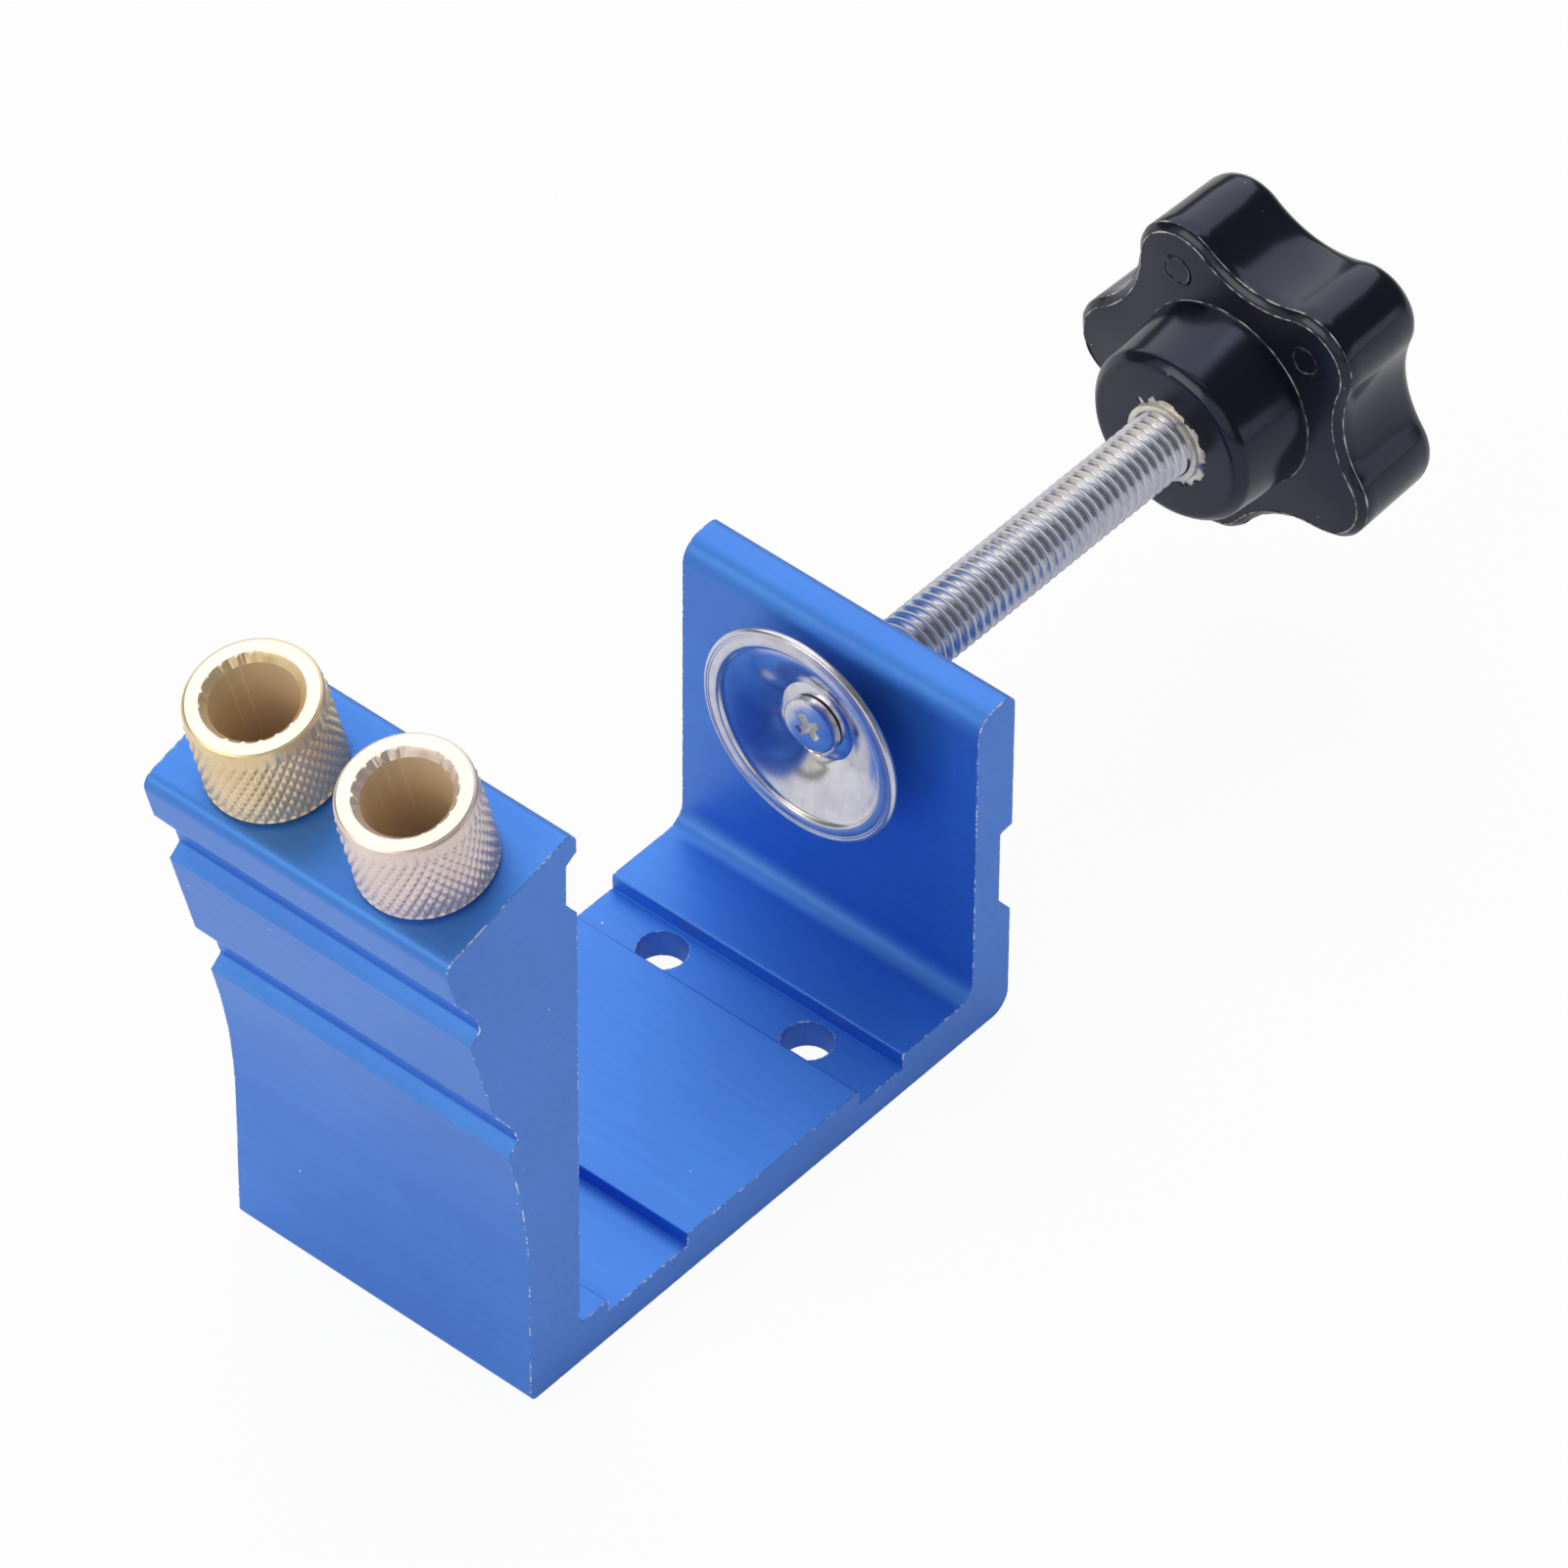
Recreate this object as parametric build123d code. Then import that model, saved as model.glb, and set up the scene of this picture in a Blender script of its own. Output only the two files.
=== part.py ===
from build123d import *
from math import cos, radians, sin, sqrt, tan
import os

# Millimetres. +X runs from the guide block to the clamp wall, +Z is up, and the origin is
# on the underside in the middle of the base. The body is one extrusion along Y.

# Base
body_width = 41.0
base_length = 76.6
base_thickness = 5.65
foot_radius = 1.0
base_corner_radius = 2.5

# Clamp wall
wall_thickness = 5.9
wall_height = 46.6
wall_inner_radius = 3.0
wall_outer_radius = 1.5
wall_root_radius = 2.5

# Guide block
block_foot = 7.7
block_height = 75.5
guide_angle = 15.0
flank_cover = 9.3
flank_radius = 78.0
block_edge_radius = 1.6
block_crest_radius = 1.5
block_root_radius = 0.8

# Channels across the base, from the work face
chip_channel_start = 4.5
chip_channel_width = 12.5
chip_channel_depth = 1.75
screw_channel_start = 44.5
screw_channel_width = 7.1
screw_channel_depth = 2.0
channel_edge_radius = 0.25

# Grooves along the outer faces: an undercut lead, a flat floor and a long ramp out
groove_corner_radius = 0.4
flank_groove_depth = 1.8
flank_groove_lead = 0.85
flank_groove_floor = 2.15
flank_groove_ramp = 5.0
flank_groove_height = 39.0
flank_groove_pitch = 21.0
flank_groove_count = 2
face_groove_depth = 1.6
face_groove_lead = 0.9
face_groove_floor = 5.5
face_groove_ramp = 2.2
face_groove_height = 75.0
wall_groove_depth = 1.9
wall_groove_lead = 0.15
wall_groove_floor = 9.95
wall_groove_ramp = 2.55
wall_groove_height = 27.35

# Drill guides
guide_spacing = 20.5
drill_diameter = 9.5
drill_clearance = 0.03
passage_clearance = 0.25
bush_shank_diameter = 12.0
bush_shank_length = 18.0
bush_seat_clearance = 0.02
bush_head_diameter = 15.2
bush_head_height = 12.1
bush_face_diameter = 13.9
bush_face_bevel = 0.9
bush_mouth_width = 0.75
bush_mouth_depth = 0.9

# Fixing holes in the base
fixing_hole_diameter = 5.7
fixing_hole_spacing = 20.5

# Clamp screw
clamp_height = 34.85
screw_diameter = 8.0
thread_clearance = 0.05
screw_reach = 56.2
screw_grip = 14.0
screw_end_chamfer = 0.8
spigot_diameter = 5.4
spigot_clearance = 0.08
cup_end_play = 0.15

# Pressure cup, pressed from sheet
cup_diameter = 26.5
cup_depth = 3.2
cup_sheet = 1.0
cup_disc_diameter = 10.0
cup_bowl_diameter = 22.4
cup_bowl_fullness = 0.56
cup_standoff = 0.9

# Screw that holds the cup
cup_screw_diameter = 4.0
cup_screw_length = 8.0
cup_screw_clearance = 0.02
cup_screw_head_diameter = 7.0
cup_screw_head_height = 1.4
cup_screw_head_bevel = 0.35

# Knob
knob_lobes = 5
knob_phase = -10.0
knob_diameter = 42.0
knob_valley_diameter = 32.0
knob_lobe_radius = 6.2
knob_thickness = 13.2
knob_front_chamfer = 0.9
knob_back_chamfer = 1.4
boss_front_diameter = 21.4
boss_root_diameter = 22.9
boss_length = 10.3
boss_chamfer = 1.1

# Plated insert moulded into the knob
insert_diameter = 11.6
insert_length = 15.0
insert_recess = 0.2
insert_clearance = 0.02
insert_ring_diameter = 9.6
insert_ring_height = 0.8

# Places worked out from the sizes above
foot_x = -base_length / 2
wall_outer_x = base_length / 2
wall_inner_x = wall_outer_x - wall_thickness
work_face_x = foot_x + block_foot
lean = tan(radians(guide_angle))
guide_top_x = work_face_x - (block_height - clamp_height) * lean
cup_back_x = wall_inner_x - cup_standoff
cup_disc_x = cup_back_x - cup_sheet
shoulder_x = cup_back_x + cup_end_play
spigot_end_x = cup_disc_x - cup_end_play
boss_front_x = shoulder_x + screw_reach
lobe_front_x = boss_front_x + boss_length
knob_back_x = lobe_front_x + knob_thickness
guide_y = (-guide_spacing / 2, guide_spacing / 2)

along_flank = Vector(-sin(radians(guide_angle)), cos(radians(guide_angle)))
into_flank = Vector(cos(radians(guide_angle)), sin(radians(guide_angle)))
guide_top = Vector(guide_top_x, block_height)


def flank_point(height):
    """Point on the sloping flank at a height, before its root is rounded."""
    start = guide_top - into_flank * flank_cover
    return start + along_flank * ((height - start.Y) / along_flank.Y)


def groove_section(lip, along, inward, depth, lead, floor, ramp):
    """Section of a groove that starts at a lip and runs along a face."""
    outside = inward * -depth
    mouth_end = lip + along * (lead + floor + ramp)
    floor_start = lip + along * lead + inward * depth
    floor_end = floor_start + along * floor
    corners = [lip + outside, lip, floor_start, floor_end, mouth_end, mouth_end + outside]
    radii = [0, 0, groove_corner_radius, groove_corner_radius, 0, 0]
    return make_face(FilletPolyline(*corners, radius=radii, close=True))


def channel_section(start, width, depth):
    """Section of a flat channel across the top of the base."""
    middle = work_face_x + start + width / 2
    return Pos(middle, base_thickness) * Rectangle(width, 2 * depth)


def body_section():
    """Side view of the extrusion, with its grooves and channels."""
    top_left = guide_top - into_flank * flank_cover
    top_right_height = block_height + (work_face_x - guide_top_x) * lean
    flank_root_height = top_left.Y - (foot_x - top_left.X) / lean
    corners = [
        (foot_x, 0, foot_radius),
        (wall_outer_x, 0, base_corner_radius),
        (wall_outer_x, wall_height, wall_outer_radius),
        (wall_inner_x, wall_height, wall_inner_radius),
        (wall_inner_x, base_thickness, wall_root_radius),
        (work_face_x, base_thickness, block_root_radius),
        (work_face_x, top_right_height, block_crest_radius),
        (top_left.X, top_left.Y, block_edge_radius),
        (foot_x, flank_root_height, flank_radius),
    ]
    points = [(x, z) for x, z, radius in corners]
    radii = [radius for x, z, radius in corners]
    section = make_face(FilletPolyline(*points, radius=radii, close=True))

    for step in range(flank_groove_count):
        lip = flank_point(flank_groove_height) + along_flank * (flank_groove_pitch * step)
        section -= groove_section(
            lip, along_flank, into_flank, flank_groove_depth,
            flank_groove_lead, flank_groove_floor, flank_groove_ramp,
        )
    section -= groove_section(
        Vector(work_face_x, face_groove_height), Vector(0, -1), Vector(-1, 0),
        face_groove_depth, face_groove_lead, face_groove_floor, face_groove_ramp,
    )
    section -= groove_section(
        Vector(wall_outer_x, wall_groove_height), Vector(0, -1), Vector(-1, 0),
        wall_groove_depth, wall_groove_lead, wall_groove_floor, wall_groove_ramp,
    )

    channels = channel_section(chip_channel_start, chip_channel_width, chip_channel_depth)
    channels += channel_section(screw_channel_start, screw_channel_width, screw_channel_depth)
    section -= channels
    edges = [v for v in section.vertices() if is_channel_edge(v)]
    return fillet(edges, channel_edge_radius)


def is_channel_edge(vertex):
    """True for the corners where a channel meets the top of the base."""
    starts = (chip_channel_start, screw_channel_start)
    widths = (chip_channel_width, screw_channel_width)
    places = [work_face_x + start for start in starts]
    places += [work_face_x + start + width for start, width in zip(starts, widths)]
    on_top = abs(vertex.Y - base_thickness) < 0.001
    return on_top and any(abs(vertex.X - place) < 0.001 for place in places)


def guide_plane(y):
    """Plane on the block's top face with its normal up the drill's axis."""
    tilt = radians(guide_angle)
    return Plane(
        origin=(guide_top_x, y, block_height),
        x_dir=(cos(tilt), 0, sin(tilt)),
        z_dir=(-sin(tilt), 0, cos(tilt)),
    )


def revolved(points):
    """Solid of revolution from (radius, height) points, about the local Z axis."""
    section = make_face(Polyline(*points, close=True))
    return revolve(Plane.XZ * section, Axis.Z)


def on_clamp_axis(x):
    """Frame on the clamp screw's axis with local Z along +X and local X along +Y."""
    return Plane(origin=(x, 0, clamp_height), x_dir=(0, 1, 0), z_dir=(1, 0, 0))


def guide_bores(y):
    """Seat of one bush and the drill's passage from it to the work face."""
    seat_radius = bush_shank_diameter / 2 + bush_seat_clearance
    passage_radius = drill_diameter / 2 + passage_clearance
    tilt = radians(guide_angle)
    clear_x = work_face_x + passage_radius
    passage_length = (clear_x - guide_top_x) / sin(tilt)
    seat = Cylinder(seat_radius, 2 * bush_shank_length)
    passage = Cylinder(passage_radius, 2 * passage_length)
    return guide_plane(y) * (seat + passage)


def clamp_hole():
    """Hole for the clamp screw through the wall."""
    radius = screw_diameter / 2 + thread_clearance
    middle = (wall_inner_x + wall_outer_x) / 2
    return on_clamp_axis(middle) * Cylinder(radius, 2 * wall_thickness)


def jig_body():
    """Extruded body with its bored guides, fixing holes and clamp hole."""
    body = extrude(Plane.XZ * body_section(), body_width / 2, both=True)
    for y in guide_y:
        body -= guide_bores(y)
    hole_x = work_face_x + screw_channel_start + screw_channel_width / 2
    for side in (-1, 1):
        hole = Cylinder(fixing_hole_diameter / 2, 2 * base_thickness)
        body -= Pos(hole_x, side * fixing_hole_spacing / 2, 0) * hole
    return body - clamp_hole()


def drill_bush(y):
    """Guide bush: a shank in the block and a head standing on its top face."""
    bore = drill_diameter / 2 + drill_clearance
    shank = bush_shank_diameter / 2
    head = bush_head_diameter / 2
    face = bush_face_diameter / 2
    return guide_plane(y) * revolved([
        (bore, -bush_shank_length),
        (shank, -bush_shank_length),
        (shank, 0),
        (head, 0),
        (head, bush_head_height - bush_face_bevel),
        (face, bush_head_height),
        (bore + bush_mouth_width, bush_head_height),
        (bore, bush_head_height - bush_mouth_depth),
    ])


def clamp_screw():
    """Stud with a spigot for the cup; its far end is held in the knob's insert."""
    radius = screw_diameter / 2
    spigot = spigot_diameter / 2
    socket = cup_screw_diameter / 2 + cup_screw_clearance
    spigot_length = shoulder_x - spigot_end_x
    length = spigot_length + screw_reach + screw_grip
    socket_depth = cup_screw_length + cup_screw_clearance
    return on_clamp_axis(spigot_end_x) * revolved([
        (socket, 0),
        (spigot, 0),
        (spigot, spigot_length),
        (radius - screw_end_chamfer, spigot_length),
        (radius, spigot_length + screw_end_chamfer),
        (radius, length),
        (0, length),
        (0, socket_depth),
        (socket, socket_depth),
    ])


def pressure_cup():
    """Dished cup with a flat centre, a bowl that eases outwards and a flat rim."""
    hole = spigot_diameter / 2 + spigot_clearance
    disc = cup_disc_diameter / 2
    bowl = cup_bowl_diameter / 2
    rim = cup_diameter / 2
    middle = (disc + bowl) / 2
    middle_front = -cup_depth * cup_bowl_fullness  # straight sides would be at half depth
    return on_clamp_axis(cup_disc_x) * revolved([
        (hole, 0),
        (disc, 0),
        (middle, middle_front),
        (bowl, -cup_depth),
        (rim, -cup_depth),
        (rim, -cup_depth + cup_sheet),
        (bowl, -cup_depth + cup_sheet),
        (middle, middle_front + cup_sheet),
        (disc, cup_sheet),
        (hole, cup_sheet),
    ])


def cup_screw():
    """Flat-topped pan head screw in the end of the stud."""
    radius = cup_screw_diameter / 2
    head = cup_screw_head_diameter / 2
    return on_clamp_axis(spigot_end_x) * revolved([
        (0, cup_screw_length),
        (radius, cup_screw_length),
        (radius, 0),
        (head, 0),
        (head, -cup_screw_head_height + cup_screw_head_bevel),
        (head - cup_screw_head_bevel, -cup_screw_head_height),
        (0, -cup_screw_head_height),
    ])


def knob_outline():
    """Star outline: round lobes joined by wide arcs tangent to them."""
    half_step = radians(180 / knob_lobes)
    lobe_centre = knob_diameter / 2 - knob_lobe_radius
    valley = knob_valley_diameter / 2
    reach = valley - knob_lobe_radius
    valley_centre = (lobe_centre**2 - reach**2) / (2 * (lobe_centre * cos(half_step) - reach))
    across = valley_centre * sin(half_step)
    outward = valley_centre * cos(half_step) - lobe_centre
    share = knob_lobe_radius / sqrt(across**2 + outward**2)
    joint = Vector(lobe_centre + outward * share, across * share)
    with BuildLine() as outline:
        for lobe in range(knob_lobes):
            turn = knob_phase + lobe * 360 / knob_lobes
            start = Vector(joint.X, -joint.Y).rotate(Axis.Z, turn)
            tip = Vector(knob_diameter / 2, 0).rotate(Axis.Z, turn)
            end = joint.rotate(Axis.Z, turn)
            low = Vector(valley, 0).rotate(Axis.Z, turn + 180 / knob_lobes)
            after = start.rotate(Axis.Z, 360 / knob_lobes)
            ThreePointArc(start, tip, end)
            ThreePointArc(end, low, after)
    return make_face(outline.line)


def knob():
    """Moulded star knob with a tapered boss and a pocket for its insert."""
    grip = extrude(knob_outline(), knob_thickness)
    front = grip.faces().sort_by(Axis.Z)[0]
    grip = chamfer(front.outer_wire().edges(), knob_front_chamfer)
    back = grip.faces().sort_by(Axis.Z)[-1]
    grip = chamfer(back.outer_wire().edges(), knob_back_chamfer)
    boss = revolved([
        (0, -boss_length),
        (boss_front_diameter / 2 - boss_chamfer, -boss_length),
        (boss_front_diameter / 2, -boss_length + boss_chamfer),
        (boss_root_diameter / 2, 0),
        (boss_root_diameter / 2, knob_thickness / 2),
        (0, knob_thickness / 2),
    ])
    pocket = Pos(0, 0, -boss_length) * Cylinder(
        insert_diameter / 2 + insert_clearance, insert_recess + insert_length,
        align=(Align.CENTER, Align.CENTER, Align.MIN),
    )
    return on_clamp_axis(lobe_front_x) * (grip + boss - pocket)


def knob_insert():
    """Plated collar around the stud, with a small ring at its mouth."""
    bore = screw_diameter / 2 + insert_clearance
    outer = insert_diameter / 2
    ring = insert_ring_diameter / 2
    return on_clamp_axis(boss_front_x + insert_recess) * revolved([
        (bore, -insert_ring_height),
        (ring, -insert_ring_height),
        (ring, 0),
        (outer, 0),
        (outer, insert_length),
        (0, insert_length),
        (0, screw_grip),
        (bore, screw_grip),
    ])


parts = {
    "jig_body": jig_body(),
    "drill_bush_near": drill_bush(guide_y[0]),
    "drill_bush_far": drill_bush(guide_y[1]),
    "clamp_screw": clamp_screw(),
    "pressure_cup": pressure_cup(),
    "cup_screw": cup_screw(),
    "knob": knob(),
    "knob_insert": knob_insert(),
}

os.makedirs("parts", exist_ok=True)
for name, part in parts.items():
    part.label = name
    export_step(part, f"parts/{name}.step")
    print(name, round(part.volume, 1), "mm3")
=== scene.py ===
import bpy, bmesh, math
from mathutils import Matrix, Vector, noise


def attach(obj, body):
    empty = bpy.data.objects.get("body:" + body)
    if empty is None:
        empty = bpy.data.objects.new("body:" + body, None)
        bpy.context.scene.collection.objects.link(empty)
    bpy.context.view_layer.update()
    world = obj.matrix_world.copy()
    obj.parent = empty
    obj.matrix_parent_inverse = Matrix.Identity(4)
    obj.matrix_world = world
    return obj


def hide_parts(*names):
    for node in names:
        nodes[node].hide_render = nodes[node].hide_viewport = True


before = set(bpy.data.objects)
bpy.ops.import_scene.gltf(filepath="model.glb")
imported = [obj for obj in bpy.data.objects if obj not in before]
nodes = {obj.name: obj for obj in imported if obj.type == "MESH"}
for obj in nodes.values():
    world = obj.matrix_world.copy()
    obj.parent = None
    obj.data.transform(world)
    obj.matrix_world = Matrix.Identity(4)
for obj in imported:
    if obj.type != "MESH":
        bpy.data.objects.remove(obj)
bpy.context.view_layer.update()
mm = 0.001
print("frame loaded:", sorted(nodes))


# ---- small helpers: shapes and objects

def closedLoop(bm, points):
    # edges that join the points in a ring
    return [bm.edges.new(pair) for pair in zip(points, points[1:] + points[:1])]


def turnedShape(profile, steps):
    # closed (radius, height) profile in mm, turned about local Z
    bm = bmesh.new()
    points = [bm.verts.new((radius * mm, 0, height * mm)) for radius, height in profile]
    bmesh.ops.spin(bm, geom=points + closedLoop(bm, points), cent=(0, 0, 0), axis=(0, 0, 1),
                   angle=2 * math.pi, steps=steps, use_merge=True)
    bmesh.ops.remove_doubles(bm, verts=bm.verts, dist=0.001 * mm)
    onAxis = [edge for edge in bm.edges if edge.is_wire]
    bmesh.ops.delete(bm, geom=onAxis, context="EDGES")
    return bm


def meshFrom(bm, name):
    mesh = bpy.data.meshes.new(name)
    bm.to_mesh(mesh)
    bm.free()
    return mesh


def addObject(name, data):
    made = bpy.data.objects.new(name, data)
    bpy.context.scene.collection.objects.link(made)
    return made


def evaluatedMesh(holder):
    # the mesh that an object's curve or modifiers come to
    bpy.context.view_layer.update()
    return bpy.data.meshes.new_from_object(
        holder.evaluated_get(bpy.context.evaluated_depsgraph_get()))


def finishPiece(bm, name, place, body, material, crease=35):
    # puts the shape in its place, in the mesh itself, and hangs it on its body
    bmesh.ops.remove_doubles(bm, verts=bm.verts, dist=0.001 * mm)
    bmesh.ops.dissolve_degenerate(bm, edges=bm.edges, dist=0.0005 * mm)
    bmesh.ops.transform(bm, matrix=place, verts=bm.verts)
    bmesh.ops.recalc_face_normals(bm, faces=bm.faces)
    for edge in bm.edges:
        edge.smooth = edge.calc_face_angle(0) < math.radians(crease)
    for face in bm.faces:
        face.smooth = True
    return finishMesh(meshFrom(bm, name), name, body, material)


def finishMesh(mesh, name, body, material):
    mesh.materials.clear()
    mesh.materials.append(material)
    piece = addObject(name, mesh)
    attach(piece, body)
    return piece


def dressNode(name, material):
    mesh = nodes[name].data
    mesh.materials.clear()
    mesh.materials.append(material)


# ---- small helpers: materials. Clouds, lines and specks are sized in mm of the object

def linearColour(hexCode):
    # sRGB hex, as a colour picker shows it, to the linear values that nodes take
    channels = [int(hexCode[i:i + 2], 16) / 255 for i in (1, 3, 5)]
    linear = [c / 12.92 if c <= 0.04045 else ((c + 0.055) / 1.055) ** 2.4 for c in channels]
    return (*linear, 1)


def addNode(tree, kind, inputs=None, **settings):
    # settings are the node's own choices, inputs are values or sockets to link
    made = tree.nodes.new(kind)
    for name, value in settings.items():
        setattr(made, name, value)
    for name, value in (inputs or {}).items():
        if isinstance(value, bpy.types.NodeSocket):
            tree.links.new(value, made.inputs[name])
        else:
            made.inputs[name].default_value = value
    return made


def startMaterial(name, **shader):
    # a material with its Principled shader set, and the object's own coordinates
    material = bpy.data.materials.new(name)
    material.use_nodes = True
    tree = material.node_tree
    principled = tree.nodes["Principled BSDF"]
    for socket, value in shader.items():
        principled.inputs[socket.replace("_", " ")].default_value = value
    place = addNode(tree, "ShaderNodeTexCoord").outputs["Object"]
    return material, tree, principled, place


def linkShader(principled, sockets):
    for name, socket in sockets.items():
        principled.id_data.links.new(socket, principled.inputs[name])


def addMath(tree, operation, *values):
    return addNode(tree, "ShaderNodeMath", dict(enumerate(values)), operation=operation).outputs[0]


def addRange(tree, value, source, target=(0.0, 1.0)):
    # the source range of the value stretched to the target range, and held at its ends
    return addNode(tree, "ShaderNodeMapRange", {
        "Value": value, "From Min": source[0], "From Max": source[1],
        "To Min": target[0], "To Max": target[1]}).outputs[0]


def addNoise(tree, place, sizeMm, detail, roughness=0.5):
    return addNode(tree, "ShaderNodeTexNoise", {
        "Vector": place, "Scale": 1000 / sizeMm, "Detail": detail,
        "Roughness": roughness}).outputs["Fac"]


def addSpecks(tree, place, cellMm, speckRadius):
    # one speck in each cell, its radius given as a share of the cell
    cells = addNode(tree, "ShaderNodeTexVoronoi", {"Vector": place, "Scale": 1000 / cellMm})
    return addMath(tree, "LESS_THAN", cells.outputs["Distance"], speckRadius)


def addMix(tree, share, first, second):
    # two colours, each a hex code or a socket
    first, second = (linearColour(colour) if isinstance(colour, str) else colour
                     for colour in (first, second))
    return addNode(tree, "ShaderNodeMix", {
        "Factor": share, "A": first, "B": second}, data_type="RGBA").outputs["Result"]


def addRamp(tree, value, stops):
    # stops are (position, hex code), from low to high
    made = addNode(tree, "ShaderNodeValToRGB", {"Fac": value})
    elements = made.color_ramp.elements
    for element, stop in ((elements[0], stops[0]), (elements[1], stops[-1])):
        element.position, element.color = stop[0], linearColour(stop[1])
    for position, hexCode in stops[1:-1]:
        elements.new(position).color = linearColour(hexCode)
    return made.outputs[0]


def addBump(tree, height, strength, depthMm, **extra):
    return addNode(tree, "ShaderNodeBump", {
        "Strength": strength, "Distance": depthMm * mm, "Height": height, **extra}).outputs[0]


def addLean(tree, normal, axis):
    # how much a normal points along the axis, either way
    parts = addNode(tree, "ShaderNodeSeparateXYZ", {0: normal})
    return addMath(tree, "ABSOLUTE", parts.outputs[axis])


# ---- places shared by the pieces, in mm, as the solids have them

places = {
    "clampHeight": 34.85,
    "guideTop": (-41.492, 75.5),  # where the drill's axis leaves the block's top face
    "guideTilt": 15.0,
    "guideSide": 10.25,
}


def clampFrame(x):
    # local Z runs along +X on the clamp screw's axis, local X along +Y
    turn = Matrix(((0, 0, 1, 0), (1, 0, 0, 0), (0, 1, 0, 0), (0, 0, 0, 1)))
    return Matrix.Translation((x * mm, 0, places["clampHeight"] * mm)) @ turn


def clampRadius(point):
    # how far a point is from the clamp screw's axis, in mm
    return math.hypot(point.y, point.z - places["clampHeight"] * mm) / mm


def guideFrame(y):
    # local Z runs up the drill's axis from the block's top face
    x, z = places["guideTop"]
    turn = Matrix.Rotation(-math.radians(places["guideTilt"]), 4, "Y")
    return Matrix.Translation((x * mm, y * mm, z * mm)) @ turn


# ---- materials

# Extruded 6063 aluminium, matt etched, dyed blue and anodised. To the eye: a deep blue
# metal with a soft sheen, greyer where it is seen along the clear oxide skin.
blueAnodising = {
    "dye": "#398df0",
    "dyeDark": "#2e7ee4",
    "bareMetal": "#ffffff",
    "dieLineMm": 0.9,
    "dieLineStretch": 0.012,  # the lines' scale along Y, against 1 across
    "scoreRange": (0.66, 0.72),
    "cloudMm": 16.0,
    "blotchRange": (0.55, 1.45),
    "edgeMm": 0.28,
    "endLean": 0.7,  # a face that points along Y more than this is a sawn end
    "edgeLeanRise": (0.12, 0.3),
    "edgeLeanFall": (0.985, 0.94),
    "edgeBend": (0.998, 0.97),  # cosine between the face and the rounded edge
    "nickMm": 0.45,
    "nickPatchMm": 4.0,
    "nickPatchShare": 0.55,
    "nickRange": (0.82, 0.87),
    "speckCellMm": 5.5,
    "speckRadius": 0.02,
    "roughness": (0.49, 0.54),
    "sawnRougher": 0.05,
    "grainMm": 0.3,  # the etch is finer, drawn coarse enough to show
    "sawArcScale": 83.3333,  # arcs 3.8 mm apart
    "sawArcShift": (0.02, 0, 0.26),
    "sawArcHeight": 0.35,
    "scoreHeight": 0.8,
    "reliefStrength": 0.15,
    "reliefMm": 0.02,
}


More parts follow.
